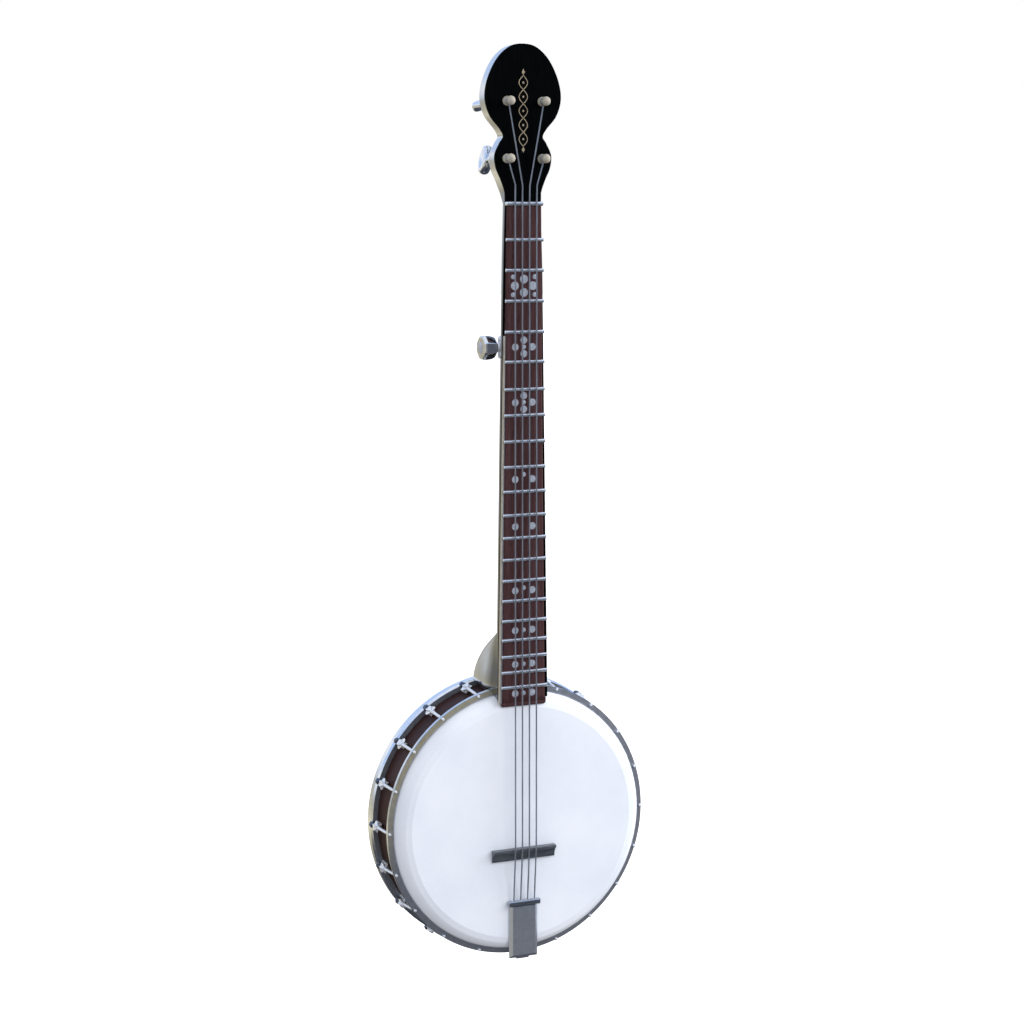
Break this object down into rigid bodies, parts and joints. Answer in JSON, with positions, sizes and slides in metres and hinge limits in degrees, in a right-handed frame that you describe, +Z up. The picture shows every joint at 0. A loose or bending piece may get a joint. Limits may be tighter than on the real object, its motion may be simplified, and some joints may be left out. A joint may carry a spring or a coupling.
{
  "type": "banjo",
  "caption": "Open-back banjo: a round pot with a white head and hook-tensioned hoop, a long silver neck with a dark fretted board, a waisted peghead and a side peg.",
  "frame": {"origin": "waist of the peghead on the neck's centre line, level with the front of the tension hoop, where a wall hanger's yoke carries the instrument", "axes": "+Z up along the neck, -Y the way the head faces, +X to the right as seen from the front; the fifth peg stands on the -X side"},
  "size_m": [0.305, 0.0987, 0.9565],
  "materials": {
    "silver_lacquer": "wood under a polished silver metallic lacquer",
    "black_veneer": "polished black face with an inlaid ornament",
    "rosewood": "dark reddish-brown, satin, fine lengthwise grain",
    "ivory_plastic": "cream, softly polished",
    "chrome": "polished nickel-chrome plate",
    "steel": "fine drawn and wound steel",
    "grey_metal": "satin grey plate",
    "graphite": "dark grey, semi-gloss",
    "ebony": "near-black, waxed",
    "head_skin": "frosted white film",
    "dark_mahogany": "dark reddish-brown, satin, bent plies"
  },
  "bodies": {
    "banjo_body": {"neck": "silver_lacquer", "peghead_veneer": "black_veneer", "fingerboard": "rosewood", "side_binding": "ivory_plastic", "nut": "chrome", "head": "head_skin", "tone_ring": "chrome", "rim": "dark_mahogany", "tension_hoop": "grey_metal", "back_ring": "chrome", "coordinator_rod": "steel", "tail_nut": "chrome", "tail_hanger": "grey_metal", "tailpiece_plate": "grey_metal", "tailpiece_bar": "graphite", "bridge": "ebony", "tension_hook_01": "chrome", "tension_hook_02": "chrome", "tension_hook_03": "chrome", "tension_hook_04": "chrome", "tension_hook_05": "chrome", "tension_hook_06": "chrome", "tension_hook_07": "chrome", "tension_hook_08": "chrome", "tension_hook_09": "chrome", "tension_hook_10": "chrome", "tension_hook_11": "chrome", "tension_hook_12": "chrome", "tension_hook_13": "chrome", "tension_hook_14": "chrome", "tension_hook_15": "chrome", "tension_hook_16": "chrome", "tension_hook_17": "chrome", "tension_hook_18": "chrome", "string_1": "steel", "string_2": "steel", "string_3": "steel", "string_4": "steel", "tuner_housing_1": "chrome", "tuner_housing_2": "chrome", "tuner_housing_3": "chrome", "tuner_housing_4": "chrome", "fifth_peg_plate": "chrome"},
    "tuner_button_1": {"tuner_button_1": "chrome"},
    "tuner_button_2": {"tuner_button_2": "chrome"},
    "tuner_button_3": {"tuner_button_3": "chrome"},
    "tuner_button_4": {"tuner_button_4": "chrome"},
    "tuner_post_1": {"tuner_post_1": "ivory_plastic"},
    "tuner_post_2": {"tuner_post_2": "ivory_plastic"},
    "tuner_post_3": {"tuner_post_3": "ivory_plastic"},
    "tuner_post_4": {"tuner_post_4": "ivory_plastic"},
    "fifth_peg_button": {"fifth_peg_button": "chrome"},
    "fifth_peg_post": {"fifth_peg_post": "chrome"}
  },
  "joints": [
    {"name": "tuner_button_1_turn", "type": "hinge", "parent": "banjo_body", "child": "tuner_button_1", "pos_m": [-0.0192, 0.039, 0.0349], "axis": [0, 1, 0], "continuous": true},
    {"name": "tuner_post_1_turn", "type": "hinge", "parent": "banjo_body", "child": "tuner_post_1", "pos_m": [-0.0192, -0.0223, 0.0349], "axis": [0, 1, 0], "continuous": true},
    {"name": "tuner_button_2_turn", "type": "hinge", "parent": "banjo_body", "child": "tuner_button_2", "pos_m": [0.0192, 0.039, 0.0349], "axis": [0, 1, 0], "continuous": true},
    {"name": "tuner_post_2_turn", "type": "hinge", "parent": "banjo_body", "child": "tuner_post_2", "pos_m": [0.0192, -0.0223, 0.0349], "axis": [0, 1, 0], "continuous": true},
    {"name": "tuner_button_3_turn", "type": "hinge", "parent": "banjo_body", "child": "tuner_button_3", "pos_m": [-0.0192, 0.039, -0.022], "axis": [0, 1, 0], "continuous": true},
    {"name": "tuner_post_3_turn", "type": "hinge", "parent": "banjo_body", "child": "tuner_post_3", "pos_m": [-0.0192, -0.0223, -0.022], "axis": [0, 1, 0], "continuous": true},
    {"name": "tuner_button_4_turn", "type": "hinge", "parent": "banjo_body", "child": "tuner_button_4", "pos_m": [0.0192, 0.039, -0.022], "axis": [0, 1, 0], "continuous": true},
    {"name": "tuner_post_4_turn", "type": "hinge", "parent": "banjo_body", "child": "tuner_post_4", "pos_m": [0.0192, -0.0223, -0.022], "axis": [0, 1, 0], "continuous": true},
    {"name": "fifth_peg_button_turn", "type": "hinge", "parent": "banjo_body", "child": "fifth_peg_button", "pos_m": [-0.0359, -0.0065, -0.212], "axis": [-1, 0, 0], "continuous": true},
    {"name": "fifth_peg_post_turn", "type": "hinge", "parent": "banjo_body", "child": "fifth_peg_post", "pos_m": [-0.022, -0.0065, -0.212], "axis": [-1, 0, 0], "continuous": true}
  ],
  "couplings": [
    {"joint": "tuner_post_1_turn", "follows": "tuner_button_1_turn", "ratio": 0.25},
    {"joint": "tuner_post_2_turn", "follows": "tuner_button_2_turn", "ratio": 0.25},
    {"joint": "tuner_post_3_turn", "follows": "tuner_button_3_turn", "ratio": 0.25},
    {"joint": "tuner_post_4_turn", "follows": "tuner_button_4_turn", "ratio": 0.25},
    {"joint": "fifth_peg_post_turn", "follows": "fifth_peg_button_turn", "ratio": 0.25}
  ]
}
